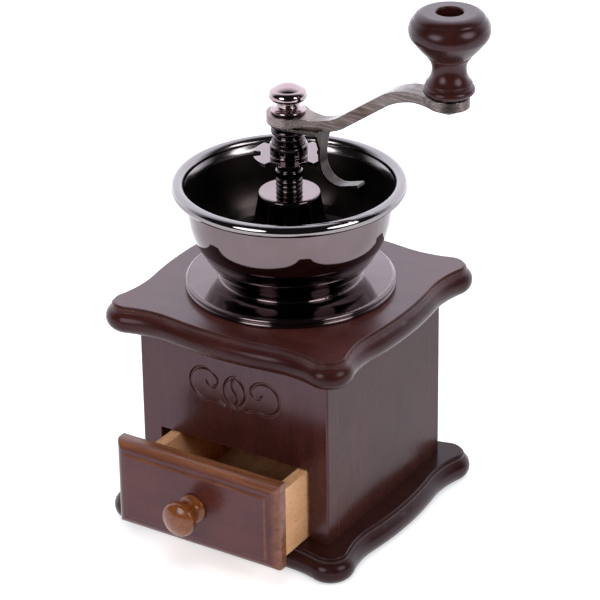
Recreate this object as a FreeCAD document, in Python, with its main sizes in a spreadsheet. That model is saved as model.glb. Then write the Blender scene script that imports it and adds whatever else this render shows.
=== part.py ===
import FreeCAD, Part
import math
import os
import Sketcher

# Hand-cranked box coffee mill, millimetres, +Z up, drawer front toward -Y, crank arm along +X.
# The bowl, the spindle and the boards share the Z axis; the underside of the base is Z = 0.

V = FreeCAD.Vector
doc = FreeCAD.newDocument("coffee_mill")
sheet = doc.addObject("Spreadsheet::Sheet", "Dimensions")
finished = {}


# ---------------------------------------------------------------- dimensions

class Length:
    """A dimension that knows its number and the sheet formula behind it."""

    def __init__(self, number, text):
        self.number = number
        self.text = text

    def combine(self, other, sign, number, swap=False):
        if isinstance(other, Length):
            other_text = other.text
        else:
            other_text = repr(float(other))
        first, second = (other_text, self.text) if swap else (self.text, other_text)
        return Length(number, "(" + first + " " + sign + " " + second + ")")

    def __add__(self, other):
        return self.combine(other, "+", self.number + number_of(other))

    def __radd__(self, other):
        return self.combine(other, "+", self.number + number_of(other))

    def __sub__(self, other):
        return self.combine(other, "-", self.number - number_of(other))

    def __rsub__(self, other):
        return self.combine(other, "-", number_of(other) - self.number, swap=True)

    def __mul__(self, other):
        return self.combine(other, "*", self.number * number_of(other))

    def __rmul__(self, other):
        return self.combine(other, "*", self.number * number_of(other))

    def __truediv__(self, other):
        return self.combine(other, "/", self.number / number_of(other))

    def __neg__(self):
        return Length(-self.number, "(0 - " + self.text + ")")


def number_of(value):
    return value.number if isinstance(value, Length) else float(value)


def root(value):
    if isinstance(value, Length):
        return Length(math.sqrt(value.number), "sqrt(" + value.text + ")")
    return math.sqrt(value)


class Dimensions:
    """Named sizes, one sheet row each."""

    def __init__(self):
        self.row = 1

    def cell(self, name, content, number):
        sheet.set("A%d" % self.row, name)
        sheet.set("B%d" % self.row, content)
        sheet.setAlias("B%d" % self.row, name)
        self.row += 1
        setattr(self, name, Length(number, "Dimensions." + name))

    def driving(self, **sizes):
        for name, number in sizes.items():
            self.cell(name, str(number), float(number))

    def derived(self, name, length):
        self.cell(name, "=" + length.text.replace("Dimensions.", ""), length.number)


d = Dimensions()
d.driving(
    # moulded boards: plan outline, then edge section
    board_thick=12.0, board_half=53.8, board_corner_r=7.0, hollow_pos=30.5, hollow_half=51.3,
    crest_half=53.6, bead_out=3.2, bead_high=10.4, bead_fillet=5.1, quirk_out=0.7,
    quirk_top=10.9, board_top_fillet=0.5,
    # case
    case_half=44.5, case_high=76.0, panel_thick=8.0, opening_half=35.6, opening_high=31.8,
    case_edge_r=0.8, guide_wide=8.0, guide_high=6.0, guide_bottom=44.0,
    engraving_r=0.75, engraving_x=1.0, engraving_z=69.5,
    # drawer, drawn shut and placed by how far it stands open
    drawer_open=22.2, front_gap=0.3, front_centre=0.3, front_half=38.5, front_low=12.3,
    front_high=38.5, lip_thick=7.0, lip_round=4.0, field_inset=4.8, field_thick=0.9,
    field_edge=0.7, side_out_left=31.0, side_out_right=34.6, side_thick=4.6,
    side_high=30.6, side_long=75.0, drawer_low=12.4, groove_up=2.4, groove_deep=2.0,
    bottom_thick=3.0, groove_play=0.1,
    knob_up=19.2, knob_head_r=7.3, knob_neck_r=4.3, knob_base_r=6.1, knob_long=14.0,
    # hopper and bridge
    sheet_thick=1.0, flange_r=43.0, neck_r=28.6, neck_top=114.6, neck_top_r=34.7, mouth_r=20.5,
    rim_centre_r=44.9, rim_centre_z=143.6, rim_r=2.5,
    hub_top=140.8, hub_r=12.4, hub_plate=2.0, hub_tube_r=7.6, hub_tube_low=122.0,
    leg_foot_low=115.8, leg_foot_high=118.8, foot_r=26.0, window_deg=76.0, bush_bore_r=4.05,
    bush_r=5.4, bush_top=147.0, bush_low=124.0, spigot_r=5.0, fit_play=0.02,
    # burrs
    housing_r=26.0, housing_low=83.0, housing_flange_r=36.0, seat_r=22.0, seat_top=98.0,
    throat_r=19.5, burr_low=84.0, gap_r=14.9,
    clamp_r=22.8, clamp_screw_r=1.95, clamp_hole_r=2.15, clamp_low=104.0,
    inner_burr_low=80.0, inner_burr_top=98.0, inner_burr_r=13.8, inner_burr_top_r=8.6,
    spring_r=6.0, spring_wire_r=0.7, spring_low=99.0, spring_pitch=4.4, spring_turns=5.0,
    # spindle stack
    shaft_r=4.0, shaft_low=74.0, shaft_top=175.3, stub_r=3.4, stud_r=2.9, stud_top=182.5,
    flat_half=3.3, flat_low=159.0,
    star_low=147.1, star_boss_r=5.4, star_plate_low=155.5, star_plate_top=157.2,
    star_disc_r=7.6, star_top=161.9, star_r=14.3, star_root_r=11.3, star_notch_deg=26.0,
    star_turn_deg=-57.4, collar_low=162.05, collar_top=168.9,
    clip_low=169.9, clip_thick=1.2, clip_x=15.3, clip_leg_half=2.6, clip_bend_z=158.0,
    clip_hook_r=9.0,
    # crank arm and cap nut
    arm_low=171.2, arm_thick=4.0, arm_rise=22.0, arm_reach=72.75, arm_hub_r=8.8,
    arm_end_r=8.2, arm_waist_half=3.1, arm_waist_x=21.0, arm_bend_x=52.5,
    cap_flange_r=7.0, cap_stem_r=4.6, cap_ball_r=7.75,
    # wooden handle and its pivot
    handle_gap=0.2, washer_thick=0.8, washer_r=6.0, pivot_r=2.5, handle_bore_r=2.58,
    counterbore_r=5.25, counterbore_low=24.0, handle_high=33.2, pivot_head_r=4.6,
    pivot_head_high=3.0, pivot_thread_r=2.0,
    # wood screws and dowels
    screw_head_r=3.4, screw_r=1.5, screw_long=21.0, screw_x=40.5, screw_y=26.0,
    dowel_r=2.5, dowel_long=16.0, dowel_y=24.0,
)
d.derived("case_top", d.board_thick + d.case_high)
d.derived("board_top", d.case_top + d.board_thick)
d.derived("case_inner", d.case_half - d.panel_thick)
d.derived("front_back", -d.case_half - d.front_gap)
d.derived("arm_top", d.arm_low + d.arm_thick)
d.derived("arm_end_low", d.arm_low + d.arm_rise)
d.derived("arm_end_top", d.arm_end_low + d.arm_thick)
d.derived("handle_low", d.arm_end_top + d.washer_thick + d.handle_gap)
# tangent-arc chain of the board outline: hollow radius, then crest radius
d.derived("corner_at", d.board_half - d.board_corner_r)
d.derived("hollow_r", ((d.corner_at - d.hollow_pos) * (d.corner_at - d.hollow_pos)
                       + (d.hollow_half - d.corner_at) * (d.hollow_half - d.corner_at)
                       - d.board_corner_r * d.board_corner_r)
          / (2 * (d.board_corner_r - d.hollow_half + d.corner_at)))
d.derived("hollow_at", d.hollow_half + d.hollow_r)
d.derived("crest_r", (d.hollow_pos * d.hollow_pos
                      + (d.hollow_at - d.crest_half) * (d.hollow_at - d.crest_half)
                      - d.hollow_r * d.hollow_r) / (2 * (d.crest_half - d.hollow_half)))
d.derived("crest_at", d.crest_half - d.crest_r)
doc.recompute()


# ---------------------------------------------------------------- helpers

def bind(thing, prop, value):
    """Set a property from a number, or tie it to the sheet."""
    if isinstance(value, Length):
        thing.setExpression(prop, value.text)
    else:
        setattr(thing, prop, value)


def place(thing, x=0.0, y=0.0, z=0.0):
    thing.Placement.Base = V(number_of(x), number_of(y), number_of(z))
    for axis, value in zip("xyz", (x, y, z)):
        if isinstance(value, Length):
            thing.setExpression("Placement.Base." + axis, value.text)
    return thing


def finish(name, thing):
    thing.Label = name
    finished[name] = thing
    return thing


def new_body(name, x=0.0, y=0.0, z=0.0):
    body = doc.addObject("PartDesign::Body", name)
    body.Label = name
    return place(body, x, y, z)


def origin_feature(body, role):
    return next(item for item in body.Origin.OriginFeatures if item.Role == role)


def new_sketch(body, plane, lift=0.0):
    """Empty sketch on one of the body's own origin planes, lifted along its normal."""
    sketch = body.newObject("Sketcher::SketchObject", body.Name + "_sketch")
    sketch.AttachmentSupport = [(origin_feature(body, plane), "")]
    sketch.MapMode = "FlatFace"
    sketch.AttachmentOffset = FreeCAD.Placement(V(0, 0, number_of(lift)), FreeCAD.Rotation())
    if isinstance(lift, Length):
        sketch.setExpression("AttachmentOffset.Base.z", lift.text)
    return sketch


def pin_point(sketch, geometry, position, x, y):
    """Tie one vertex to sheet-driven coordinates."""
    for kind, value in (("DistanceX", x), ("DistanceY", y)):
        index = sketch.addConstraint(
            Sketcher.Constraint(kind, -1, 1, geometry, position, number_of(value)))
        if isinstance(value, Length):
            sketch.setExpression("Constraints[%d]" % index, value.text)


def draw_loop(sketch, steps):
    """Closed loop. A step is a corner (x, y), or (x, y, via_x, via_y) for an arc arriving there."""
    points = [V(number_of(step[0]), number_of(step[1]), 0) for step in steps]
    count = len(steps)
    indices = []
    for i, step in enumerate(steps):
        start, end = points[i - 1], points[i]
        if len(step) == 4:
            via = V(number_of(step[2]), number_of(step[3]), 0)
            anticlockwise = (via - start).cross(end - via).z > 0
            arc = sketch.addGeometry(Part.Arc(start, via, end), False)
            indices.append((arc, anticlockwise, step))
        else:
            indices.append((sketch.addGeometry(Part.LineSegment(start, end), False), True, step))
    for i in range(count):
        before, after = indices[i], indices[(i + 1) % count]
        before_end = 2 if before[1] else 1
        after_start = 1 if after[1] else 2
        sketch.addConstraint(
            Sketcher.Constraint("Coincident", before[0], before_end, after[0], after_start))
    for index, forward, step in indices:
        pin_point(sketch, index, 2 if forward else 1, step[0], step[1])
        if len(step) == 4:
            via = Part.Point(V(number_of(step[2]), number_of(step[3]), 0))
            marker = sketch.addGeometry(via, True)
            sketch.addConstraint(Sketcher.Constraint("PointOnObject", marker, 1, index))
            pin_point(sketch, marker, 1, step[2], step[3])


def draw_circle(sketch, x, y, radius):
    centre = V(number_of(x), number_of(y), 0)
    index = sketch.addGeometry(Part.Circle(centre, V(0, 0, 1), number_of(radius)), False)
    pin_point(sketch, index, 3, x, y)
    size = sketch.addConstraint(Sketcher.Constraint("Radius", index, number_of(radius)))
    if isinstance(radius, Length):
        sketch.setExpression("Constraints[%d]" % size, radius.text)


def dome(radius, low, top):
    """Arc from (radius, low) to (0, top) that meets the axis squarely."""
    high = top - low
    curve = (radius * radius + high * high) / (2 * high)
    return (0.0, top, radius / 2, top - curve + root(curve * curve - radius * radius / 4))


def rectangle(x0, y0, x1, y1):
    return [(x0, y0), (x1, y0), (x1, y1), (x0, y1)]


def pad(body, sketch, length, both_ways=False, downward=False):
    feature = body.newObject("PartDesign::Pad", body.Name + "_pad")
    feature.Profile = sketch
    bind(feature, "Length", length)
    feature.Midplane = both_ways
    feature.Reversed = downward
    return feature


def pocket(body, sketch, length=None, upward=False):
    """Pocket along the sketch normal; through everything when no length is given."""
    doc.recompute()
    before = body.Shape.Volume
    feature = body.newObject("PartDesign::Pocket", body.Name + "_pocket")
    feature.Profile = sketch
    if length is None:
        feature.Type = 1
    else:
        bind(feature, "Length", length)
    feature.Reversed = upward
    doc.recompute()
    if not body.Shape.Volume < before - 0.01:
        raise RuntimeError(body.Label + ": a pocket removed nothing")
    return feature


def revolve(body, steps):
    """Turned shape: an (r, z) loop in the XZ plane, turned about the body's Z axis."""
    sketch = new_sketch(body, "XZ_Plane")
    draw_loop(sketch, steps)
    feature = body.newObject("PartDesign::Revolution", body.Name + "_turned")
    feature.Profile = sketch
    feature.ReferenceAxis = (sketch, ["V_Axis"])
    feature.Angle = 360.0
    return feature


def round_edges(body, radius, wanted, kind="Fillet"):
    """Fillet or chamfer the edges of the body's tip that `wanted` accepts."""
    doc.recompute()
    tip = body.Tip
    names = ["Edge%d" % (i + 1) for i, edge in enumerate(tip.Shape.Edges) if wanted(edge)]
    feature = body.newObject("PartDesign::" + kind, body.Name + "_" + kind.lower())
    feature.Base = (tip, names)
    bind(feature, "Radius" if kind == "Fillet" else "Size", radius)
    return feature


def around_axis(body, features, count):
    doc.recompute()
    pattern = body.newObject("PartDesign::PolarPattern", body.Name + "_pattern")
    pattern.Originals = features
    pattern.Axis = (origin_feature(body, "Z_Axis"), [""])
    pattern.Angle = 360.0
    pattern.Occurrences = count
    body.Tip = pattern
    return pattern


def block(label, x0, y0, z0, wide, deep, high):
    box = doc.addObject("Part::Box", label)
    box.Label = label
    bind(box, "Length", wide)
    bind(box, "Width", deep)
    bind(box, "Height", high)
    return place(box, x0, y0, z0)


def rod(label, x, y, z, radius, high):
    cylinder = doc.addObject("Part::Cylinder", label)
    cylinder.Label = label
    bind(cylinder, "Radius", radius)
    bind(cylinder, "Height", high)
    return place(cylinder, x, y, z)


def taper(label, x, y, z, low_r, top_r, high):
    cone = doc.addObject("Part::Cone", label)
    cone.Label = label
    bind(cone, "Radius1", low_r)
    bind(cone, "Radius2", top_r)
    bind(cone, "Height", high)
    return place(cone, x, y, z)


def joined(label, pieces):
    union = doc.addObject("Part::MultiFuse", label)
    union.Label = label
    union.Shapes = pieces
    union.Refine = True
    return union


def group(label, pieces):
    compound = doc.addObject("Part::Compound", label)
    compound.Label = label
    compound.Links = pieces
    return compound


def cut(label, base, tool):
    """Base less tool, checked to have really lost material."""
    result = doc.addObject("Part::Cut", label)
    result.Label = label
    result.Base = base
    result.Tool = tool
    doc.recompute()
    if not result.Shape.Volume < base.Shape.Volume - 0.01:
        raise RuntimeError(label + ": a cut removed nothing")
    return result


def is_vertical(edge):
    box = edge.BoundBox
    return box.ZLength > 1.0 and box.XLength < 1e-6 and box.YLength < 1e-6


def lies_at_height(z):
    return lambda edge: abs(edge.BoundBox.ZMin - z) < 1e-4 and abs(edge.BoundBox.ZMax - z) < 1e-4


# ---------------------------------------------------------------- moulded boards

def board_outline(sketch, out):
    """Wavy square: round corner ears, a hollow beside each, a crest mid-side, all tangent arcs.

    Growing by `out` keeps the centres and the tangent directions.
    """
    to_hollow_x = d.hollow_pos - d.corner_at
    to_hollow_y = d.hollow_at - d.corner_at
    ear = (d.board_corner_r + out) / (d.board_corner_r + d.hollow_r)
    ear_x = d.corner_at + to_hollow_x * ear
    ear_y = d.corner_at + to_hollow_y * ear
    swing = (d.crest_r + out) / (d.crest_r + d.hollow_r)
    crest_x = d.hollow_pos * swing
    crest_y = d.crest_at + (d.hollow_at - d.crest_at) * swing
    hollow_y = d.hollow_half + out
    corner = d.corner_at + (d.board_corner_r + out) * math.sqrt(0.5)
    side = [
        (crest_x, crest_y, d.hollow_pos, hollow_y),
        (-crest_x, crest_y, 0.0, d.crest_half + out),
        (-ear_x, ear_y, -d.hollow_pos, hollow_y),
        (-ear_y, ear_x, -corner, corner),
    ]
    steps = []
    for quarter in range(4):
        steps += side
        side = [tuple(v for pair in zip(step[0::2], step[1::2]) for v in (-pair[1], pair[0]))
                for step in side]
    draw_loop(sketch, steps)


def moulded_board(name, z):
    body = new_body(name, z=z)
    low = new_sketch(body, "XY_Plane")
    board_outline(low, d.bead_out)
    pad(body, low, d.bead_high)
    top = d.bead_high.number
    round_edges(body, d.bead_fillet,
                lambda edge: lies_at_height(0.0)(edge) or lies_at_height(top)(edge))
    quirk = new_sketch(body, "XY_Plane", d.bead_high / 2)
    board_outline(quirk, d.quirk_out)
    pad(body, quirk, d.quirk_top - d.bead_high / 2)
    upper = new_sketch(body, "XY_Plane", d.bead_high / 2)
    board_outline(upper, 0.0)
    pad(body, upper, d.board_thick - d.bead_high / 2)
    round_edges(body, d.board_top_fillet, lies_at_height(d.board_thick.number))
    return body


def make_boards():
    base = moulded_board("base_board_blank", 0.0)
    holes = []
    for x, y in screw_spots():
        holes.append(rod("base_hole", x, y, -1.0, d.screw_r + 0.1, d.board_thick + 2))
        holes.append(taper("base_sink", x, y, 0.0, d.screw_head_r + 0.1, d.screw_r + 0.1, 2.0))
    finish("base_board", cut("base_board", base, joined("base_holes", holes)))

    top = moulded_board("top_board_blank", d.case_top)
    holes = [rod("housing_hole", 0.0, 0.0, d.case_top - 1, d.housing_r + 0.4, d.board_thick + 2)]
    for x, y in dowel_spots():
        holes.append(rod("board_dowel_hole", x, y, d.case_top - 1,
                         d.dowel_r + d.fit_play, d.dowel_long / 2 + 1.2))
    finish("top_board", cut("top_board", top, joined("top_holes", holes)))


# ---------------------------------------------------------------- case

def screw_spots():
    return [(sx * d.screw_x, sy * d.screw_y) for sx in (-1, 1) for sy in (-1, 1)]


def dowel_spots():
    return [(sx * d.screw_x, sy * d.dowel_y) for sx in (-1, 1) for sy in (-1, 1)]


def engraved_arc(x, z, radius, start, sweep):
    """Round-bottomed groove along an arc on the front face, angles from +X toward +Z."""
    ring = doc.addObject("Part::Torus", "engraved_arc")
    ring.Radius1 = radius
    bind(ring, "Radius2", d.engraving_r)
    ring.Angle3 = sweep
    ring.Placement.Rotation = FreeCAD.Rotation(V(1, 0, 0), 90) * FreeCAD.Rotation(V(0, 0, 1), start)
    return place(ring, d.engraving_x + x, -d.case_half, d.engraving_z + z)


def bean_arcs():
    """Coffee bean: two sides meeting at the tips and an S-shaped crease."""
    reach = 7.4
    offset = 2.4
    tip = math.degrees(math.acos(offset / reach))
    crease = 3.3
    crease_r = math.hypot(crease, 3.0)
    swing = math.degrees(math.asin(3.0 / crease_r))
    return [
        (-offset, 0.0, reach, -tip, 2 * tip),
        (offset, 0.0, reach, 180 - tip, 2 * tip),
        (crease, 3.0, crease_r, 180 - swing, 2 * swing),
        (-crease, -3.0, crease_r, -swing, 2 * swing),
    ]


def scroll_arcs():
    """C-scroll on the +X side: big sweep, inner curl and a tail toward the middle."""
    big, curl, tail = 7.0, 2.8, 10.0
    x, z = 14.2, 0.6
    turn = math.radians(150)
    end = math.radians(255)
    return [
        (x, z, big, -105.0, 255.0),
        (x + (big - curl) * math.cos(turn), z + (big - curl) * math.sin(turn), curl, 150.0, 200.0),
        (x + (big + tail) * math.cos(end), z + (big + tail) * math.sin(end), tail, 75.0, 45.0),
    ]


def mirrored(arcs):
    return [(-x, z, radius, 180.0 - start - sweep, sweep) for x, z, radius, start, sweep in arcs]


def make_front_panel():
    body = new_body("front_panel_blank")
    sketch = new_sketch(body, "XZ_Plane", d.case_inner)
    high = d.board_thick + d.opening_high
    draw_loop(sketch, [
        (-d.case_half, d.board_thick), (-d.opening_half, d.board_thick),
        (-d.opening_half, high), (d.opening_half, high),
        (d.opening_half, d.board_thick), (d.case_half, d.board_thick),
        (d.case_half, d.case_top), (-d.case_half, d.case_top),
    ])
    pad(body, sketch, d.panel_thick)
    outer = d.case_half.number
    round_edges(body, d.case_edge_r,
                lambda edge: is_vertical(edge) and abs(edge.BoundBox.YMin + outer) < 1e-4
                and abs(abs(edge.BoundBox.XMin) - outer) < 1e-4)
    arcs = bean_arcs() + scroll_arcs() + mirrored(scroll_arcs())
    grooves = joined("engraving", [engraved_arc(*arc) for arc in arcs])
    finish("front_panel", cut("front_panel", body, grooves))


def make_back_panel():
    body = new_body("back_panel")
    sketch = new_sketch(body, "XZ_Plane", -d.case_half)
    draw_loop(sketch, rectangle(-d.case_half, d.board_thick, d.case_half, d.case_top))
    pad(body, sketch, d.panel_thick)
    outer = d.case_half.number
    round_edges(body, d.case_edge_r,
                lambda edge: is_vertical(edge) and abs(edge.BoundBox.YMin - outer) < 1e-4)
    finish("back_panel", body)


def make_side_panel(name, sign):
    x0 = d.case_inner if sign > 0 else -d.case_half
    panel = block(name + "_blank", x0, -d.case_inner, d.board_thick,
                  d.panel_thick, d.case_inner * 2, d.case_high)
    holes = []
    for x, y in screw_spots():
        if x.number * sign > 0:
            holes.append(rod("pilot", x, y, d.board_thick - 1, d.screw_r + d.fit_play, 12.0))
    for x, y in dowel_spots():
        if x.number * sign > 0:
            holes.append(rod("dowel_hole", x, y, d.case_top - d.dowel_long / 2 - 0.2,
                             d.dowel_r + d.fit_play, d.dowel_long))
    finish(name, cut(name, panel, joined(name + "_holes", holes)))


def make_guides():
    for name, x in (("drawer_guide_left", -d.case_inner),
                    ("drawer_guide_right", d.case_inner - d.guide_wide)):
        strip = block(name, x, -d.case_inner, d.guide_bottom,
                      d.guide_wide, d.case_inner * 2, d.guide_high)
        finish(name, strip)


def make_case():
    make_front_panel()
    make_back_panel()
    make_side_panel("left_panel", -1)
    make_side_panel("right_panel", 1)
    make_guides()


def make_case_fasteners():
    screws = []
    for x, y in screw_spots():
        blank = joined("base_screw_blank", [
            taper("base_screw_head", x, y, 0.1, d.screw_head_r, d.screw_r, 2.0),
            rod("base_screw_shank", x, y, 2.0, d.screw_r, d.screw_long - 3),
            taper("base_screw_tip", x, y, d.screw_long - 1, d.screw_r, 0.2, 2.0),
        ])
        cross = joined("base_screw_cross", [
            block("cross_along_x", x - 2, y - 0.4, 0.0, 4.0, 0.8, 1.1),
            block("cross_along_y", x - 0.4, y - 2, 0.0, 0.8, 4.0, 1.1),
        ])
        screws.append(cut("base_screw", blank, cross))
    finish("base_screws", group("base_screws", screws))
    dowels = [rod("top_dowel", x, y, d.case_top - d.dowel_long / 2, d.dowel_r, d.dowel_long)
              for x, y in dowel_spots()]
    finish("top_dowels", group("top_dowels", dowels))


# ---------------------------------------------------------------- drawer, drawn shut

def make_drawer_front():
    body = new_body("drawer_front", y=-d.drawer_open)
    low, high = d.front_low, d.front_low + d.front_high
    left, right = d.front_centre - d.front_half, d.front_centre + d.front_half
    lip = new_sketch(body, "XZ_Plane", -d.front_back)
    draw_loop(lip, rectangle(left, low, right, high))
    pad(body, lip, d.lip_thick)
    face = (d.front_back - d.lip_thick).number
    round_edges(body, d.lip_round,
                lambda edge: abs(edge.BoundBox.YMin - face) < 1e-4
                and abs(edge.BoundBox.YMax - face) < 1e-4)
    field = new_sketch(body, "XZ_Plane", -d.front_back + d.lip_thick)
    draw_loop(field, rectangle(left + d.field_inset, low + d.field_inset,
                               right - d.field_inset, high - d.field_inset))
    pad(body, field, d.field_thick)
    raised = (d.front_back - d.lip_thick - d.field_thick).number
    round_edges(body, d.field_edge,
                lambda edge: abs(edge.BoundBox.YMin - raised) < 1e-4
                and abs(edge.BoundBox.YMax - raised) < 1e-4, "Chamfer")
    hole = new_sketch(body, "XZ_Plane", -d.front_back)
    draw_circle(hole, d.front_centre, low + d.knob_up, 1.8)
    pocket(body, hole, d.lip_thick + d.field_thick, upward=True)
    finish("drawer_front", body)


def boxed(name, x0, y0, z0, wide, deep, high, slots):
    """Board of the drawer with the groove for the bottom let in."""
    plank = block(name + "_blank", x0, y0, z0, wide, deep, high)
    board = cut(name, plank, joined(name + "_slots", slots) if len(slots) > 1 else slots[0])
    return board


def make_drawer_box():
    shift = -d.drawer_open
    back = d.front_back + shift
    z0 = d.drawer_low
    inner_left = -d.side_out_left + d.side_thick
    inner_right = d.side_out_right - d.side_thick
    inner_wide = inner_right - inner_left
    slot_z = z0 + d.groove_up
    slot_high = d.bottom_thick + d.groove_play
    slot_x = inner_left - d.groove_deep
    slot_wide = inner_wide + d.groove_deep * 2
    front_end = back + d.side_thick - d.groove_deep
    slot_long = d.side_long - d.side_thick * 2 + d.groove_deep * 2

    def slot():
        return block("bottom_slot", slot_x, front_end, slot_z, slot_wide, slot_long, slot_high)

    for name, x0 in (("drawer_side_left", -d.side_out_left), ("drawer_side_right", inner_right)):
        side = boxed(name, x0, back, z0, d.side_thick, d.side_long, d.side_high, [slot()])
        finish(name, side)
    screw_hole = rod("inner_front_hole", d.front_centre, back + d.side_thick + 1,
                     d.front_low + d.knob_up, 1.8, d.side_thick + 2)
    screw_hole.Placement.Rotation = FreeCAD.Rotation(V(1, 0, 0), 90)
    inner_front = boxed("drawer_inner_front", inner_left, back, z0,
                        inner_wide, d.side_thick, d.side_high, [slot(), screw_hole])
    finish("drawer_inner_front", inner_front)
    back_board = boxed("drawer_back", inner_left, back + d.side_long - d.side_thick, z0,
                       inner_wide, d.side_thick, d.side_high, [slot()])
    finish("drawer_back", back_board)
    bottom = block("drawer_bottom", slot_x + d.groove_play, front_end + d.groove_play, slot_z,
                   slot_wide - d.groove_play * 2, slot_long - d.groove_play * 2, d.bottom_thick)
    finish("drawer_bottom", bottom)


def make_drawer_knob():
    """Turned about its own Z, then laid down so that +Z points out of the drawer front."""
    face = d.front_back - d.lip_thick - d.field_thick - d.drawer_open
    body = new_body("drawer_knob", d.front_centre, face, d.front_low + d.knob_up)
    body.Placement.Rotation = FreeCAD.Rotation(V(1, 0, 0), 90)
    long = d.knob_long
    revolve(body, [
        (0.0, 8.0),
        (1.55, 8.0),
        (1.55, 0.0),
        (d.knob_base_r - 0.4, 0.0),
        (d.knob_base_r - 0.4, 1.6, d.knob_base_r, 0.8),
        (d.knob_head_r - 1.0, long - 6.0, d.knob_neck_r, 4.6),
        (d.knob_head_r, long - 3.9, d.knob_head_r - 0.2, long - 5.2),
        (d.knob_head_r - 1.2, long - 1.7, d.knob_head_r - 0.25, long - 2.5),
        dome(d.knob_head_r - 1.2, long - 1.7, long),
    ])
    finish("drawer_knob", body)

    screw = new_body("knob_screw_blank", d.front_centre,
                     d.front_back + d.side_thick - d.drawer_open, d.front_low + d.knob_up)
    screw.Placement.Rotation = FreeCAD.Rotation(V(1, 0, 0), 90)
    reach = d.side_thick + d.lip_thick + d.field_thick + 7.0
    revolve(screw, [
        (0.0, -1.8),
        (1.2, -1.8),
        (3.4, 0.0, 2.8, -1.2),
        (1.5, 0.0),
        (1.5, reach - 1.0),
        (0.6, reach),
        (0.0, reach),
    ])
    z = d.front_low + d.knob_up
    slot = block("knob_screw_slot", d.front_centre - 4, screw.Placement.Base.y + 0.9, z - 0.45,
                 8.0, 2.0, 0.9)
    finish("drawer_knob_screw", cut("drawer_knob_screw", screw, slot))


def make_drawer():
    make_drawer_front()
    make_drawer_box()
    make_drawer_knob()


# ---------------------------------------------------------------- hopper

def clamp_spots():
    """The three screw positions, one on each leg of the bridge."""
    spots = []
    for index in range(3):
        angle = math.radians(d.star_turn_deg.number + 60 + 120 * index)
        spots.append((d.clamp_r * math.cos(angle), d.clamp_r * math.sin(angle)))
    return spots


def clamp_holes(z, high):
    return [rod("clamp_hole", x, y, z, d.clamp_hole_r, high) for x, y in clamp_spots()]


def make_bowl():
    body = new_body("hopper_bowl_blank")
    t = d.sheet_thick
    floor = d.neck_top + 0.1
    cone = d.neck_top_r
    rim_r, rim_z, bead = d.rim_centre_r, d.rim_centre_z, d.rim_r
    lean = math.sqrt(0.5)
    revolve(body, [
        (d.mouth_r, floor + t),
        (d.mouth_r, floor),
        (cone - 0.4, floor),
        (cone + 0.3, floor + 0.6, cone + 0.1, floor + 0.15),
        # cone, rounded shoulder and straight wall up to the step under the bead
        (rim_r - 7.9, rim_z - 25.1),
        (rim_r - 4.25, rim_z - 14.0, rim_r - 5.58, rim_z - 19.7),
        (rim_r - 2.7, rim_z - bead),
        (rim_r - 0.5, rim_z - bead),
        (rim_r + bead * lean, rim_z + bead * lean, rim_r + bead, rim_z),
        (rim_r - bead, rim_z - 0.4, rim_r - bead * lean, rim_z + bead * lean),
        (rim_r - 3.85, rim_z - 3.6, rim_r - 3.3, rim_z - 1.8),
        (rim_r - 5.25, rim_z - 13.9),
        (rim_r - 8.8, rim_z - 24.6, rim_r - 6.55, rim_z - 19.5),
        (cone - 0.8, floor + t),
    ])
    finish("hopper_bowl", cut("hopper_bowl", body, group("bowl_holes", clamp_holes(floor - 1, 3.0))))


def make_flange():
    body = new_body("hopper_flange_blank")
    t = d.sheet_thick
    foot, top = d.board_top, d.neck_top
    edge, neck, cone = d.flange_r, d.neck_r, d.neck_top_r
    revolve(body, [
        (edge - 0.6, foot),
        (edge - 0.7, foot + 1.8, edge, foot + 0.9),
        (edge - 0.8, foot + 3.4, edge - 0.2, foot + 2.6),
        (edge - 1.8, foot + 3.7, edge - 1.2, foot + 3.7),
        (neck + 1.3, foot + 4.3),
        (neck + 0.2, foot + 5.1, neck + 0.5, foot + 4.5),
        # waist: hollow above the plate, then the cone that carries the bowl
        (cone - 3.1, top - 4.4, neck + 1.2, foot + 7.7),
        (cone, top - 0.2),
        (cone - 0.2, top),
        (d.mouth_r, top),
        (d.mouth_r, top - t),
        (cone - 1.6, top - t),
        (cone - 4.2, top - 4.3),
        (neck - t, foot + 4.5, neck + 0.2, foot + 7.8),
        (neck + 0.8, foot + 3.1, neck - 0.4, foot + 3.4),
        (edge - 3.0, foot + 2.4),
        (edge - 3.0, foot),
    ])
    finish("hopper_flange",
           cut("hopper_flange", body, group("flange_holes", clamp_holes(top - 2, 3.0))))


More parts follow.
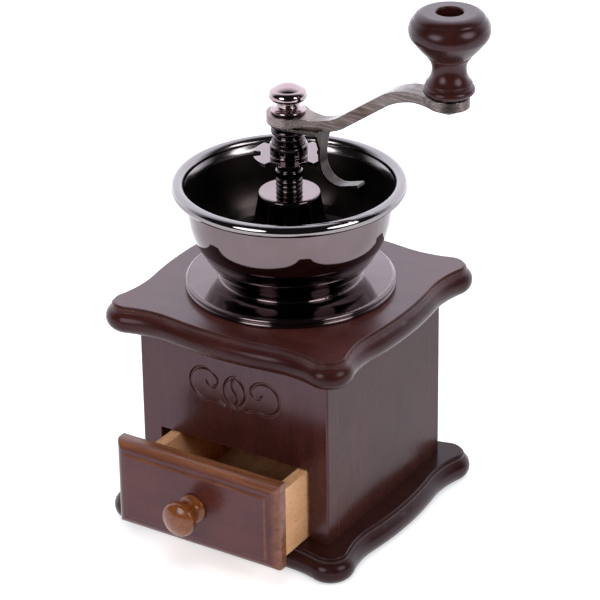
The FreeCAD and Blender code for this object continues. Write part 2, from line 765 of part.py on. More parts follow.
def make_bridge():
    """Turned hub, cone and foot ring with three windows cut to leave three legs."""
    body = new_body("bridge_blank")
    foot, floor, top = d.leg_foot_high, d.leg_foot_low, d.hub_top
    bore = d.spigot_r + d.fit_play
    plate = top - d.hub_plate
    revolve(body, [
        (bore, top),
        (bore, d.hub_tube_low),
        (d.hub_tube_r, d.hub_tube_low),
        (d.hub_tube_r, plate),
        (d.hub_r - 2.6, plate),
        (d.hub_r - 0.5, plate - 9.8),
        (d.hub_r + 2.6, foot + 1.0),
        (d.hub_r + 3.6, floor),
        (d.foot_r, floor),
        (d.foot_r, foot),
        (d.hub_r + 6.6, foot),
        (d.hub_r + 3.8, foot + 4.0, d.hub_r + 4.6, foot + 1.2),
        (d.hub_r + 2.3, plate - 9.8),
        (d.hub_r + 0.3, plate + 0.6),
        (d.hub_r - 0.6, top, d.hub_r + 0.1, top - 0.4),
    ])
    half = d.window_deg / 2
    sketch = new_sketch(body, "XY_Plane", d.hub_top - d.hub_plate)
    inner, outer = d.hub_tube_r.number + 0.1, d.foot_r.number + 2
    a0 = math.radians(d.star_turn_deg.number - half.number)
    a1 = math.radians(d.star_turn_deg.number + half.number)
    mid = math.radians(d.star_turn_deg.number)
    draw_loop(sketch, [
        (outer * math.cos(a0), outer * math.sin(a0)),
        (outer * math.cos(a1), outer * math.sin(a1), outer * math.cos(mid), outer * math.sin(mid)),
        (inner * math.cos(a1), inner * math.sin(a1)),
        (inner * math.cos(a0), inner * math.sin(a0), inner * math.cos(mid), inner * math.sin(mid)),
    ])
    window = pocket(body, sketch, d.hub_top - d.hub_plate - d.leg_foot_low + 1)
    around_axis(body, [window], 3)
    holes = clamp_holes(floor - 1, d.leg_foot_high - d.leg_foot_low + 2)
    finish("bridge", cut("bridge", body, group("bridge_holes", holes)))


def make_bush():
    body = new_body("hub_bushing")
    top, seat, r = d.bush_top, d.hub_top, d.bush_r
    ring = 2.0
    steps = [
        (d.bush_bore_r, top),
        (d.bush_bore_r, d.bush_low),
        (d.spigot_r, d.bush_low),
        (d.spigot_r, seat),
        (r - 0.5, seat),
    ]
    for index in range(3):
        z = seat + ring * index
        steps.append((r - 0.5, z + ring, r, z + ring / 2))
    steps.append((r - 0.5, top))
    revolve(body, steps)
    finish("hub_bushing", body)


def make_bridge_screws():
    screws = []
    for x, y in clamp_spots():
        body = new_body("bridge_screw", x, y, d.leg_foot_high)
        deep = d.clamp_low - d.leg_foot_high
        revolve(body, [
            (0.0, deep),
            (d.clamp_screw_r - 0.4, deep),
            (d.clamp_screw_r, deep + 0.6),
            (d.clamp_screw_r, 0.0),
            (3.5, 0.0),
            (3.5, 0.8),
            dome(3.5, 0.8, 2.4),
        ])
        slot = block("bridge_slot", x - 4, y - 0.5, d.leg_foot_high + 1.3, 8.0, 1.0, 2.0)
        screws.append(cut("bridge_screw_slotted", body, slot))
    finish("bridge_screws", group("bridge_screws", screws))


# ---------------------------------------------------------------- burrs

def flutes(label, count, radius, z, high, wide, lean):
    """Slanting bars spaced round the axis, to be cut from a burr."""
    bars = []
    for index in range(count):
        angle = 360.0 * index / count
        bar = doc.addObject("Part::Box", label)
        bar.Length = 6.0
        bar.Width = wide
        bind(bar, "Height", high)
        turn = FreeCAD.Rotation(V(0, 0, 1), angle)
        bar.Placement.Rotation = turn * FreeCAD.Rotation(V(1, 0, 0), lean)
        at = turn.multVec(V(number_of(radius), -wide / 2, 0))
        place(bar, at.x, at.y, z)
        bars.append(bar)
    return group(label + "s", bars)


def make_burrs():
    housing = new_body("burr_housing_blank")
    low, top = d.housing_low, d.neck_top - d.sheet_thick
    revolve(housing, [
        (d.throat_r, top),
        (d.throat_r, d.seat_top),
        (d.seat_r + d.fit_play, d.seat_top),
        (d.seat_r + d.fit_play, low),
        (d.housing_flange_r, low),
        (d.housing_flange_r, d.case_top),
        (d.housing_r, d.case_top),
        (d.housing_r, top),
    ])
    holes = clamp_holes(d.clamp_low - 1, top - d.clamp_low + 2)
    for hole in holes:
        bind(hole, "Radius", d.clamp_screw_r + d.fit_play)
    finish("burr_housing", cut("burr_housing", housing, group("housing_holes", holes)))

    ring = new_body("outer_burr_blank")
    gap, burr = d.gap_r, d.burr_low
    revolve(ring, [
        (gap, burr),
        (d.seat_r, burr),
        (d.seat_r, d.seat_top),
        (gap + 3.9, d.seat_top),
        (gap - 1.5, burr + 4.8),
    ])
    bars = flutes("outer_flute", 14, gap - 3.0, burr + 5.0, 14.0, 2.0, 24.0)
    finish("outer_burr", cut("outer_burr", ring, bars))

    cone = new_body("inner_burr_blank")
    revolve(cone, [
        (d.stub_r + d.fit_play, d.inner_burr_top),
        (d.stub_r + d.fit_play, d.inner_burr_low),
        (d.inner_burr_r, d.inner_burr_low),
        (d.inner_burr_r, d.inner_burr_low + 1.5),
        (d.inner_burr_top_r, d.inner_burr_top),
    ])
    bars = flutes("inner_flute", 9, d.inner_burr_top_r - 2.0, d.inner_burr_low + 7.0, 14.0, 2.2,
                  -24.0)
    finish("inner_burr", cut("inner_burr", cone, bars))

    finish("burr_washer", cut("burr_washer",
           rod("washer_disc", 0.0, 0.0, d.inner_burr_low - 1.2, 7.5, 1.2),
           rod("washer_hole", 0.0, 0.0, d.inner_burr_low - 2, d.stub_r + d.fit_play, 3.0)))
    nut = doc.addObject("Part::Prism", "nut_blank")
    nut.Polygon = 6
    nut.Circumradius = 6.4
    nut.Height = 4.0
    place(nut, 0.0, 0.0, d.inner_burr_low - 5.2)
    finish("burr_nut", cut("burr_nut", nut,
           rod("nut_hole", 0.0, 0.0, d.inner_burr_low - 6, d.stub_r + d.fit_play, 6.0)))


def make_spring():
    coil = doc.addObject("Part::Helix", "spring_path")
    bind(coil, "Pitch", d.spring_pitch)
    bind(coil, "Radius", d.spring_r)
    bind(coil, "Height", d.spring_pitch * d.spring_turns)
    place(coil, 0.0, 0.0, d.spring_low)
    wire = doc.addObject("Part::Circle", "spring_wire")
    bind(wire, "Radius", d.spring_wire_r)
    wire.Placement.Rotation = FreeCAD.Rotation(V(1, 0, 0), 90)
    place(wire, d.spring_r, 0.0, d.spring_low)
    sweep = doc.addObject("Part::Sweep", "burr_spring")
    sweep.Sections = [wire]
    sweep.Spine = (coil, [])
    sweep.Solid = True
    sweep.Frenet = True
    finish("burr_spring", sweep)


# ---------------------------------------------------------------- spindle stack

def keyed_hole(label, z, high):
    """Round hole with two flats facing +Y and -Y, matching the shaft."""
    both = doc.addObject("Part::MultiCommon", label)
    both.Shapes = [
        rod(label + "_round", 0.0, 0.0, z, d.shaft_r + 0.05, high),
        block(label + "_flats", -d.shaft_r - 1, -d.flat_half - 0.05, z,
              d.shaft_r * 2 + 2, d.flat_half * 2 + 0.1, high),
    ]
    return both


def make_shaft():
    body = new_body("spindle_shaft_blank")
    revolve(body, [
        (0.0, d.stud_top),
        (0.0, d.shaft_low),
        (d.stub_r - 0.5, d.shaft_low),
        (d.stub_r, d.shaft_low + 0.5),
        (d.stub_r, d.inner_burr_top),
        (d.shaft_r, d.inner_burr_top),
        (d.shaft_r, d.shaft_top),
        (d.stud_r, d.shaft_top),
        (d.stud_r, d.stud_top - 0.5),
        (d.stud_r - 0.5, d.stud_top),
    ])
    high = d.shaft_top - d.flat_low
    flats = [
        block("flat_front", -5.0, -d.flat_half - 5, d.flat_low, 10.0, 5.0, high),
        block("flat_back", -5.0, d.flat_half, d.flat_low, 10.0, 5.0, high),
    ]
    finish("spindle_shaft", cut("spindle_shaft", body, group("shaft_flats", flats)))


def make_star_nut():
    body = new_body("adjusting_nut")
    low, r = d.star_low, d.star_boss_r
    bore = d.bush_bore_r
    revolve(body, [
        (bore, d.star_top),
        (bore, low),
        (r - 0.4, low),
        (r, low + 0.5),
        (r, low + 3.0),
        (r, low + 4.6, r - 0.6, low + 3.8),
        (r, d.star_plate_low - 0.8),
        (r + 1.2, d.star_plate_low, r + 0.35, d.star_plate_low - 0.35),
        (d.star_r, d.star_plate_low),
        (d.star_r, d.star_plate_top),
        (d.star_disc_r + 0.2, d.star_plate_top),
        (d.star_disc_r, d.star_plate_top + 0.8),
        (d.star_disc_r, d.star_top - 0.6),
        (d.star_disc_r - 0.6, d.star_top),
    ])
    sketch = new_sketch(body, "XY_Plane", d.star_plate_top + 0.1)
    aim = math.radians(d.star_turn_deg.number + 30)
    root_half = math.radians(d.star_notch_deg.number / 2 - 2)
    tip_half = math.radians(d.star_notch_deg.number / 2)
    root, tip = d.star_root_r.number, d.star_r.number + 1.5
    draw_loop(sketch, [
        (root * math.cos(aim - root_half), root * math.sin(aim - root_half)),
        (tip * math.cos(aim - tip_half), tip * math.sin(aim - tip_half)),
        (tip * math.cos(aim + tip_half), tip * math.sin(aim + tip_half)),
        (root * math.cos(aim + root_half), root * math.sin(aim + root_half)),
    ])
    notch = pocket(body, sketch, d.star_plate_top - d.star_plate_low + 0.2)
    around_axis(body, [notch], 6)
    finish("adjusting_nut", body)


def make_collar():
    body = new_body("keyed_collar_blank")
    low, top = d.collar_low, d.collar_top
    revolve(body, [
        (0.0, top),
        (0.0, low),
        (6.5, low),
        # thin lip, lower barrel and upper barrel
        (6.5, low + 0.9, 6.9, low + 0.45),
        (5.7, low + 1.1),
        (5.8, low + 3.8, 6.35, low + 2.5),
        (6.3, low + 4.0),
        (6.6, top - 0.2, 7.2, low + 5.5),
        (6.4, top),
    ])
    finish("keyed_collar", cut("keyed_collar", body,
           keyed_hole("collar_hole", low - 1, top - low + 2)))


def make_clip():
    body = new_body("locking_clip_blank")
    low, t, x = d.clip_low, d.clip_thick, d.clip_x
    half = d.clip_leg_half
    shoulder = half + 3.4
    # plate under the arm: round the spindle, tapering to the shoulder of the leg
    plate = new_sketch(body, "XY_Plane", low)
    draw_loop(plate, [
        (x + t, shoulder), (0.0, shoulder + 1.6),
        (0.0, -shoulder - 1.6, -shoulder - 1.6, 0.0),
        (x + t, -shoulder),
    ])
    pad(body, plate, t)
    # leg: wide at the bend, narrowing as it passes the star
    leg = new_sketch(body, "YZ_Plane", x)
    draw_loop(leg, [
        (-shoulder, low + t), (-half, low - 7.0), (-half, d.clip_bend_z),
        (half, d.clip_bend_z), (half, low - 7.0), (shoulder, low + t),
    ])
    pad(body, leg, t)
    # finger tab: down, round and slightly up again
    hook = new_sketch(body, "XZ_Plane")
    r = d.clip_hook_r
    outer = r + t / 2
    inner = r - t / 2
    cx = x + t / 2 + r
    cz = d.clip_bend_z
    lean = math.radians(-75)
    tab = 6.5
    rise = (math.cos(lean + math.pi / 2), math.sin(lean + math.pi / 2))
    foot = (math.cos(lean), math.sin(lean))
    turn = math.radians(-130)
    side = (math.cos(turn), math.sin(turn))
    draw_loop(hook, [
        (cx - outer, cz),
        (cx + outer * foot[0], cz + outer * foot[1], cx + outer * side[0], cz + outer * side[1]),
        (cx + outer * foot[0] + tab * rise[0], cz + outer * foot[1] + tab * rise[1]),
        (cx + inner * foot[0] + tab * rise[0], cz + inner * foot[1] + tab * rise[1]),
        (cx + inner * foot[0], cz + inner * foot[1]),
        (cx - inner, cz, cx + inner * side[0], cz + inner * side[1]),
    ])
    pad(body, hook, half * 2, both_ways=True)
    finish("locking_clip", cut("locking_clip", body, keyed_hole("clip_hole", low - 1, t + 2)))


def make_arm():
    """Side shape with two bends, trimmed by the plan shape with a paddle at each end."""
    side = new_body("arm_side")
    low, t, rise = d.arm_low, d.arm_thick, d.arm_rise
    sketch = new_sketch(side, "XZ_Plane")
    start, stop = -d.arm_hub_r - 1, d.arm_reach + d.arm_end_r + 1
    bend = 6.0
    slope_in, slope_out = d.arm_waist_x, d.arm_bend_x
    slope = rise / (slope_out - slope_in)
    shift = t * 0.33
    draw_loop(sketch, [
        (start, low),
        (slope_in - bend + shift, low),
        (slope_in + 5 + shift, low + slope * 5, slope_in + shift, low + slope * 1.7),
        (slope_out - 6 + shift, low + rise - slope * 6),
        (slope_out + bend + shift, low + rise, slope_out + shift, low + rise - slope * 1.85),
        (stop, low + rise),
        (stop, low + rise + t),
        (slope_out + bend - shift, low + rise + t),
        (slope_out - 6 - shift, low + rise + t - slope * 6,
         slope_out - shift, low + rise + t - slope * 1.85),
        (slope_in + 5 - shift, low + t + slope * 5),
        (slope_in - bend - shift, low + t, slope_in - shift, low + t + slope * 1.7),
        (start, low + t),
    ])
    pad(side, sketch, d.arm_hub_r * 2 + 4, both_ways=True)

    plan = new_body("arm_plan")
    sketch = new_sketch(plan, "XY_Plane", low - 5)
    hub, end, waist = d.arm_hub_r, d.arm_end_r, d.arm_waist_half
    reach = d.arm_reach
    half = math.sqrt(0.5)
    draw_loop(sketch, [
        (hub * half, -hub * half, -hub, 0.0),
        (d.arm_waist_x, -waist, hub * half + 5.6, -waist - 0.9),
        (slope_out + 4, -waist - 1.9),
        (reach - end * 0.5, -end * 0.866, slope_out + 11.5, -end * 0.66),
        (reach - end * 0.5, end * 0.866, reach + end, 0.0),
        (slope_out + 4, waist + 1.9, slope_out + 11.5, end * 0.66),
        (d.arm_waist_x, waist),
        (hub * half, hub * half, hub * half + 5.6, waist + 0.9),
    ])
    pad(plan, sketch, rise + t + 10)

    both = doc.addObject("Part::MultiCommon", "arm_blank")
    both.Shapes = [side, plan]
    holes = group("arm_holes", [
        keyed_hole("arm_hub_hole", low - 1, t + 2),
        rod("arm_end_hole", reach, 0.0, low + rise - 1, d.pivot_thread_r + d.fit_play, t + 2),
    ])
    finish("crank_arm", cut("crank_arm", both, holes))


def make_cap_nut():
    body = new_body("cap_nut", z=d.arm_top)
    stem, ball, flange = d.cap_stem_r, d.cap_ball_r, d.cap_flange_r
    bore = d.stud_r + d.fit_play
    top = 11.9
    equator = 7.3
    revolve(body, [
        (0.0, 8.2),
        (bore, 8.0),
        (bore, 0.1),
        (flange - 0.5, 0.1),
        (flange - 0.3, 1.5, flange, 0.8),
        (stem, 2.9, stem + 0.7, 2.0),
        (stem, 3.9),
        (stem + 0.9, equator - 2.1, stem + 0.15, equator - 2.4),
        (ball, equator, ball - 0.45, equator - 1.4),
        (ball - 1.9, equator + 2.5, ball - 0.4, equator + 1.5),
        dome(ball - 1.9, equator + 2.5, top),
    ])
    finish("cap_nut", body)


# ---------------------------------------------------------------- wooden handle

def make_handle():
    body = new_body("handle_knob", d.arm_reach, 0.0, d.handle_low)
    top = d.handle_high
    revolve(body, [
        (d.handle_bore_r, d.counterbore_low),
        (d.handle_bore_r, 0.0),
        (8.2, 0.0),
        (9.0, 3.6, 10.1, 1.7),
        (8.7, 4.2, 8.6, 3.8),
        (8.9, 5.0, 9.05, 4.6),
        (7.9, 14.6, 6.75, 11.3),
        (8.4, 15.4, 8.35, 14.9),
        (15.0, 23.0, 12.5, 19.8),
        (13.9, 30.8, 15.75, 26.7),
        (9.8, top, 12.3, 32.6),
        (d.counterbore_r + 0.4, top),
        (d.counterbore_r, top - 0.4),
        (d.counterbore_r, d.counterbore_low),
    ])
    finish("handle_knob", body)

    finish("handle_washer", cut("handle_washer",
           rod("handle_washer_disc", d.arm_reach, 0.0, d.arm_end_top, d.washer_r, d.washer_thick),
           rod("handle_washer_hole", d.arm_reach, 0.0, d.arm_end_top - 1,
               d.pivot_r + d.fit_play, 3.0)))

    screw = new_body("handle_screw", d.arm_reach, 0.0, d.arm_end_top)
    head = d.washer_thick + d.handle_gap + d.counterbore_low + 0.2
    thread_end = -d.arm_thick - 2.4
    revolve(screw, [
        (0.0, head + d.pivot_head_high - 1.4),
        (0.0, thread_end),
        (d.pivot_thread_r, thread_end),
        (d.pivot_thread_r, 0.0),
        (d.pivot_r, 0.0),
        (d.pivot_r, head),
        (d.pivot_head_r, head),
        (d.pivot_head_r, head + d.pivot_head_high - 1.0),
        (d.pivot_head_r - 1.0, head + d.pivot_head_high),
        (1.9, head + d.pivot_head_high),
        (1.9, head + d.pivot_head_high - 1.4),
    ])
    finish("handle_screw", screw)

    nut = doc.addObject("Part::Prism", "handle_nut_blank")
    nut.Polygon = 6
    nut.Circumradius = 4.3
    nut.Height = 2.2
    place(nut, d.arm_reach, 0.0, d.arm_end_low - 2.2)
    finish("handle_nut", cut("handle_nut", nut,
           rod("handle_nut_hole", d.arm_reach, 0.0, d.arm_end_low - 3,
               d.pivot_thread_r + d.fit_play, 4.0)))


# ---------------------------------------------------------------- build, check, export

make_boards()
make_case()
make_case_fasteners()
make_drawer()
make_bowl()
make_flange()
make_bridge()
make_bush()
make_bridge_screws()
make_burrs()
make_spring()
make_shaft()
make_star_nut()
make_collar()
make_clip()
make_arm()
make_cap_nut()
make_handle()
doc.recompute()

for item in doc.Objects:
    if "Invalid" in item.State or "Error" in item.State:
        raise RuntimeError(item.Label + ": " + ", ".join(item.State))

os.makedirs("parts", exist_ok=True)
for name, item in finished.items():
    if item.Shape.isNull() or not item.Shape.isValid() or not item.Shape.Solids:
        raise RuntimeError(name + ": shape is null, invalid or not solid")
    item.Shape.exportStep("parts/" + name + ".step")
    print(name, len(item.Shape.Solids), round(item.Shape.Volume, 1))
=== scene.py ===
import math

import bpy
from mathutils import Matrix, Vector

# Hand-cranked box coffee mill: wooden case and drawer, black nickel hopper, steel crank.
# Metres, +Z up, drawer toward -Y, crank arm along +X, spindle on the Z axis.

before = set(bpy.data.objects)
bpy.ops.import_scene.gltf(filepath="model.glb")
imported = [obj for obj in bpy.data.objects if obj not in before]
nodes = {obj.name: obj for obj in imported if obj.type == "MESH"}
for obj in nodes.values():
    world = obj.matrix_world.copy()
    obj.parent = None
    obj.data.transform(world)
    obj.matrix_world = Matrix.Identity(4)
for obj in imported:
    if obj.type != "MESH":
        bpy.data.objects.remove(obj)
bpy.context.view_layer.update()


# ---------------------------------------------------------------- material helpers

class Surface:
    """A Principled material built up node by node."""

    def __init__(self, name):
        self.material = bpy.data.materials.new(name)
        self.material.use_nodes = True
        self.tree = self.material.node_tree
        self.shader = self.tree.nodes["Principled BSDF"]
        self.where = self.add("ShaderNodeTexCoord").outputs["Object"]

    def add(self, kind, **settings):
        node = self.tree.nodes.new(kind)
        for name, value in settings.items():
            setattr(node, name, value)
        return node

    def feed(self, socket, value):
        if isinstance(value, bpy.types.NodeSocket):
            self.tree.links.new(value, socket)
        else:
            socket.default_value = value

    def set(self, **values):
        for name, value in values.items():
            self.shader.inputs[name.replace("_", " ")].default_value = value

    def scaled(self, source, scale, turn=(0, 0, 0)):
        mapping = self.add("ShaderNodeMapping")
        self.feed(mapping.inputs["Vector"], source)
        mapping.inputs["Scale"].default_value = scale
        mapping.inputs["Rotation"].default_value = turn
        return mapping.outputs["Vector"]

    def noise(self, source, scale, detail=4.0, roughness=0.55, distortion=0.0):
        node = self.add("ShaderNodeTexNoise")
        self.feed(node.inputs["Vector"], source)
        node.inputs["Scale"].default_value = scale
        node.inputs["Detail"].default_value = detail
        node.inputs["Roughness"].default_value = roughness
        node.inputs["Distortion"].default_value = distortion
        return node.outputs["Fac"]

    def spread(self, value, low, high, to_low=0.0, to_high=1.0):
        """Map a value's range [low, high] onto [to_low, to_high], clamped."""
        node = self.add("ShaderNodeMapRange")
        self.feed(node.inputs["Value"], value)
        for name, number in (("From Min", low), ("From Max", high),
                             ("To Min", to_low), ("To Max", to_high)):
            node.inputs[name].default_value = number
        return node.outputs["Result"]

    def blend(self, amount, first, second, mode="MIX"):
        node = self.add("ShaderNodeMix", data_type="RGBA", blend_type=mode)
        self.feed(node.inputs[0], amount)
        self.feed(node.inputs[6], first)
        self.feed(node.inputs[7], second)
        return node.outputs[2]

    def maths(self, operation, first, second=0.0):
        node = self.add("ShaderNodeMath", operation=operation)
        self.feed(node.inputs[0], first)
        self.feed(node.inputs[1], second)
        return node.outputs[0]

    def dot(self, first, second):
        node = self.add("ShaderNodeVectorMath", operation="DOT_PRODUCT")
        self.feed(node.inputs[0], first)
        self.feed(node.inputs[1], second)
        return node.outputs["Value"]

    def dimmed(self, colour, factor):
        node = self.add("ShaderNodeVectorMath", operation="SCALE")
        self.feed(node.inputs[0], colour)
        self.feed(node.inputs["Scale"], factor)
        return node.outputs[0]

    def split(self, vector):
        """The X, Y and Z outputs of a vector."""
        node = self.add("ShaderNodeSeparateXYZ")
        self.feed(node.inputs[0], vector)
        return node.outputs

    def normal(self):
        """The surface normal in the object's own axes."""
        return self.add("ShaderNodeTexCoord").outputs["Normal"]

    def present(self, name):
        """The output that feeds a socket of the shader so far."""
        return self.shader.inputs[name].links[0].from_socket

    def bump(self, height, strength, distance, edge=0.0):
        """Surface relief, with the object's sharp edges eased by the radius edge."""
        node = self.add("ShaderNodeBump")
        self.feed(node.inputs["Height"], height)
        node.inputs["Strength"].default_value = strength
        node.inputs["Distance"].default_value = distance
        if edge:
            eased = self.add("ShaderNodeBevel", samples=6)
            eased.inputs["Radius"].default_value = edge
            self.feed(node.inputs["Normal"], eased.outputs["Normal"])
        self.feed(self.shader.inputs["Normal"], node.outputs["Normal"])

    def colour(self, value):
        self.feed(self.shader.inputs["Base Color"], value)

    def roughness(self, value):
        self.feed(self.shader.inputs["Roughness"], value)


def rgb(red, green, blue):
    return (red, green, blue, 1.0)


def along(axis, fine, long):
    """Scale that stretches a texture along one axis of the object."""
    return tuple(long if name == axis else fine for name in "xyz")


def tinted(colour, depth):
    """The colour at depth times its brightness."""
    return rgb(*(channel * depth for channel in colour))


def convex_edges(surface, radius):
    """1 on convex edges within the radius, 0 on open faces."""
    eased = surface.add("ShaderNodeBevel", samples=12)
    eased.inputs["Radius"].default_value = radius
    flat = surface.add("ShaderNodeNewGeometry").outputs["Normal"]
    return surface.spread(surface.dot(eased.outputs["Normal"], flat), 0.99, 0.80)


def stained_wood(name, axis, depth=1.0, gloss=0.5, side_gloss=0.5, flank_gloss=None,
                 painted_side_shade=1.0, wear_and_highlight_width=0.0012, wear_and_highlight=0.55):
    """Dark mahogany stain under satin lacquer, with the grain along one axis.

    gloss is for flat tops, side_gloss for all other faces, and flank_gloss, where given, for
    faces toward +X and -X. Faces other than flat tops are painted_side_shade times as bright:
    painted shade. Sharp edges are painted orange-brown over wear_and_highlight_width, by the
    amount wear_and_highlight: partly bare wood rubbed through, partly a painted highlight.
    """
    wood = Surface(name)
    fibre = wood.noise(wood.scaled(wood.where, along(axis, 900, 40)), 1.0, 6, 0.65, 0.4)
    band = wood.noise(wood.scaled(wood.where, along(axis, 110, 9)), 1.0, 3, 0.5, 1.2)
    mottle = wood.noise(wood.where, 35.0, 3, 0.5)
    pores = wood.spread(wood.noise(wood.scaled(wood.where, along(axis, 2600, 120)), 1.0, 2, 0.5),
                        0.60, 0.72)
    base = wood.blend(wood.spread(band, 0.30, 0.75), tinted((0.050, 0.0130, 0.0115), depth),
                      tinted((0.098, 0.026, 0.021), depth))
    base = wood.blend(wood.spread(fibre, 0.3, 0.7, 0.0, 0.55), base,
                      tinted((0.062, 0.016, 0.012), depth))
    base = wood.blend(wood.spread(mottle, 0.4, 0.75, 0.0, 0.4), base,
                      tinted((0.125, 0.034, 0.024), depth))
    base = wood.blend(wood.maths("MULTIPLY", pores, 0.6), base,
                      tinted((0.016, 0.006, 0.0045), depth))
    facing = wood.split(wood.normal())
    flat_top = wood.spread(facing["Z"], 0.6, 0.97)
    # Painted shade: faces other than flat tops are darkened.
    base = wood.dimmed(base, wood.spread(flat_top, 0.0, 1.0, painted_side_shade, 1.0))
    # Sharp edges painted orange-brown: partly bare wood rubbed through, partly a painted highlight.
    local_strength = wood.maths("MULTIPLY", convex_edges(wood, wear_and_highlight_width),
                        wood.spread(mottle, 0.35, 0.6, 0.2 * wear_and_highlight, wear_and_highlight))
    wood.colour(wood.blend(local_strength, base, tinted((0.30, 0.105, 0.040), depth)))
    wood.roughness(wood.spread(wood.noise(wood.where, 90.0, 4), 0.3, 0.7, 0.20, 0.30))
    wood.bump(wood.maths("SUBTRACT", fibre, pores), 0.08, 0.0002, edge=0.0005)
    sheen = wood.spread(flat_top, 0.0, 1.0, side_gloss, gloss)
    if flank_gloss is not None:
        flank = wood.maths("ABSOLUTE", facing["X"])
        sheen = wood.spread(flank, 0.5, 0.9, side_gloss, flank_gloss)
    wood.feed(wood.shader.inputs["Specular IOR Level"], sheen)
    wood.set(Coat_Weight=0.04, Coat_Roughness=0.12, Specular_Tint=rgb(0.99, 0.77, 0.93))
    return wood


def drawer_wood():
    """Stained wood of the drawer front, with a painted highlight in orange-brown on its upper and
    right-hand lip.
    """
    wood = stained_wood("stained_wood_drawer", "x", 0.9, side_gloss=0.4, wear_and_highlight=0.1)
    # Painted highlight: faces turned up and to the right are lightened to orange-brown, streaked
    # along the grain.
    lit_side = (0.75, 0.0, 1.0)
    lip = wood.spread(wood.dot(wood.normal(), lit_side), 0.15, 0.75)
    streak = wood.noise(wood.scaled(wood.where, along("x", 420, 45)), 1.0, 5, 0.6, 0.5)
    stain = wood.present("Base Color")
    lip_highlight = wood.blend(wood.spread(streak, 0.35, 0.65), rgb(0.115, 0.038, 0.018),
                      rgb(0.23, 0.088, 0.038))
    wood.colour(wood.blend(wood.maths("MULTIPLY", lip, 0.9), stain, lip_highlight))
    return wood


def raw_beech(name, axis):
    """Planed beech with its short dark flecks."""
    wood = Surface(name)
    fibre = wood.noise(wood.scaled(wood.where, along(axis, 1100, 45)), 1.0, 5, 0.6, 0.3)
    fleck = wood.spread(wood.noise(wood.scaled(wood.where, along(axis, 1900, 330)), 1.0, 2, 0.5),
                        0.58, 0.68)
    tone = wood.noise(wood.scaled(wood.where, along(axis, 90, 12)), 1.0, 3)
    base = wood.blend(wood.spread(tone, 0.3, 0.7), rgb(0.66, 0.33, 0.155), rgb(0.82, 0.47, 0.26))
    base = wood.blend(wood.spread(fibre, 0.35, 0.75, 0.0, 0.45), base, rgb(0.53, 0.26, 0.12))
    wood.colour(wood.blend(wood.maths("MULTIPLY", fleck, 0.55), base, rgb(0.30, 0.125, 0.05)))
    wood.roughness(wood.spread(fibre, 0.3, 0.7, 0.5, 0.68))
    wood.bump(wood.maths("SUBTRACT", fibre, fleck), 0.18, 0.0002, edge=0.0004)
    return wood


def amber_wood():
    """Turned knob in clear glossy varnish over orange-brown wood."""
    wood = Surface("amber_wood")
    fibre = wood.noise(wood.scaled(wood.where, along("y", 750, 70)), 1.0, 5, 0.6, 0.6)
    tone = wood.noise(wood.where, 120.0, 2)
    base = wood.blend(wood.spread(fibre, 0.3, 0.7), rgb(0.092, 0.021, 0.003),
                      rgb(0.215, 0.059, 0.009))
    wood.colour(wood.blend(wood.spread(tone, 0.4, 0.7, 0.0, 0.5), base, rgb(0.150, 0.042, 0.008)))
    wood.roughness(wood.spread(tone, 0.3, 0.7, 0.24, 0.34))
    wood.bump(fibre, 0.05, 0.0002)
    wood.set(Coat_Weight=0.4, Coat_Roughness=0.07, Specular_IOR_Level=0.3)
    return wood


def black_nickel(name, depth=1.0, shine=0.05, edge_highlight=0.0, painted_side_shade=1.0):
    """Dark mirror plating, cloudy in tone, with painted edge highlights of strength edge_highlight.

    shine is its lowest roughness. Faces other than flat tops are painted_side_shade times as
    bright: painted shade.
    """
    metal = Surface(name)
    cloud = metal.noise(metal.where, 60.0, 4, 0.55, 0.5)
    fine = metal.noise(metal.where, 900.0, 3, 0.6)
    plate = metal.blend(metal.spread(cloud, 0.35, 0.7), tinted((0.145, 0.110, 0.114), depth),
                        tinted((0.168, 0.130, 0.136), depth))
    # Painted shade: faces other than flat tops are darkened.
    if painted_side_shade != 1.0:
        upward = metal.split(metal.normal())["Z"]
        plate = metal.dimmed(plate, metal.spread(upward, 0.6, 0.95, painted_side_shade, 1.0))
    # Painted highlight along the sharp edges.
    if edge_highlight:
        local_strength = metal.maths("MULTIPLY", convex_edges(metal, 0.0006), edge_highlight)
        plate = metal.blend(local_strength, plate, rgb(0.62, 0.57, 0.58))
    metal.colour(plate)
    metal.roughness(metal.spread(cloud, 0.3, 0.75, shine, shine + 0.04))
    metal.bump(fine, 0.012, 0.0002, edge=0.0003)
    metal.set(Metallic=1.0)
    return metal


def hopper_nickel():
    """The same plating: on the bowl's inner wall dulled and painted darker, painted shade; on the
    rolled rim painted brighter, a painted highlight.
    """
    rim_from, rim_to = 0.1400, 0.1412
    metal = black_nickel("hopper_nickel")
    level = metal.add("ShaderNodeVectorMath", operation="MULTIPLY")
    metal.feed(level.inputs[0], metal.where)
    level.inputs[1].default_value = (1.0, 1.0, 0.0)
    inside = metal.spread(metal.dot(level.outputs[0], metal.normal()), -0.001, -0.012)
    local_strength = metal.spread(metal.noise(metal.where, 80.0, 4), 0.3, 0.7, 0.20, 0.28)
    rough = metal.maths("ADD", metal.maths("MULTIPLY", inside, local_strength), metal.present("Roughness"))
    # Painted shade: the bowl's inner wall is darkened.
    plate = metal.blend(inside, metal.present("Base Color"), rgb(0.052, 0.041, 0.040))
    height = metal.split(metal.where)["Z"]
    # Painted highlight: the rolled rim is lightened.
    metal.colour(metal.blend(metal.spread(height, rim_from, rim_to), plate, rgb(0.27, 0.245, 0.25)))
    smooth = metal.spread(height, rim_from, rim_to, 1.0, 0.5)
    metal.roughness(metal.maths("MULTIPLY", rough, smooth))
    return metal


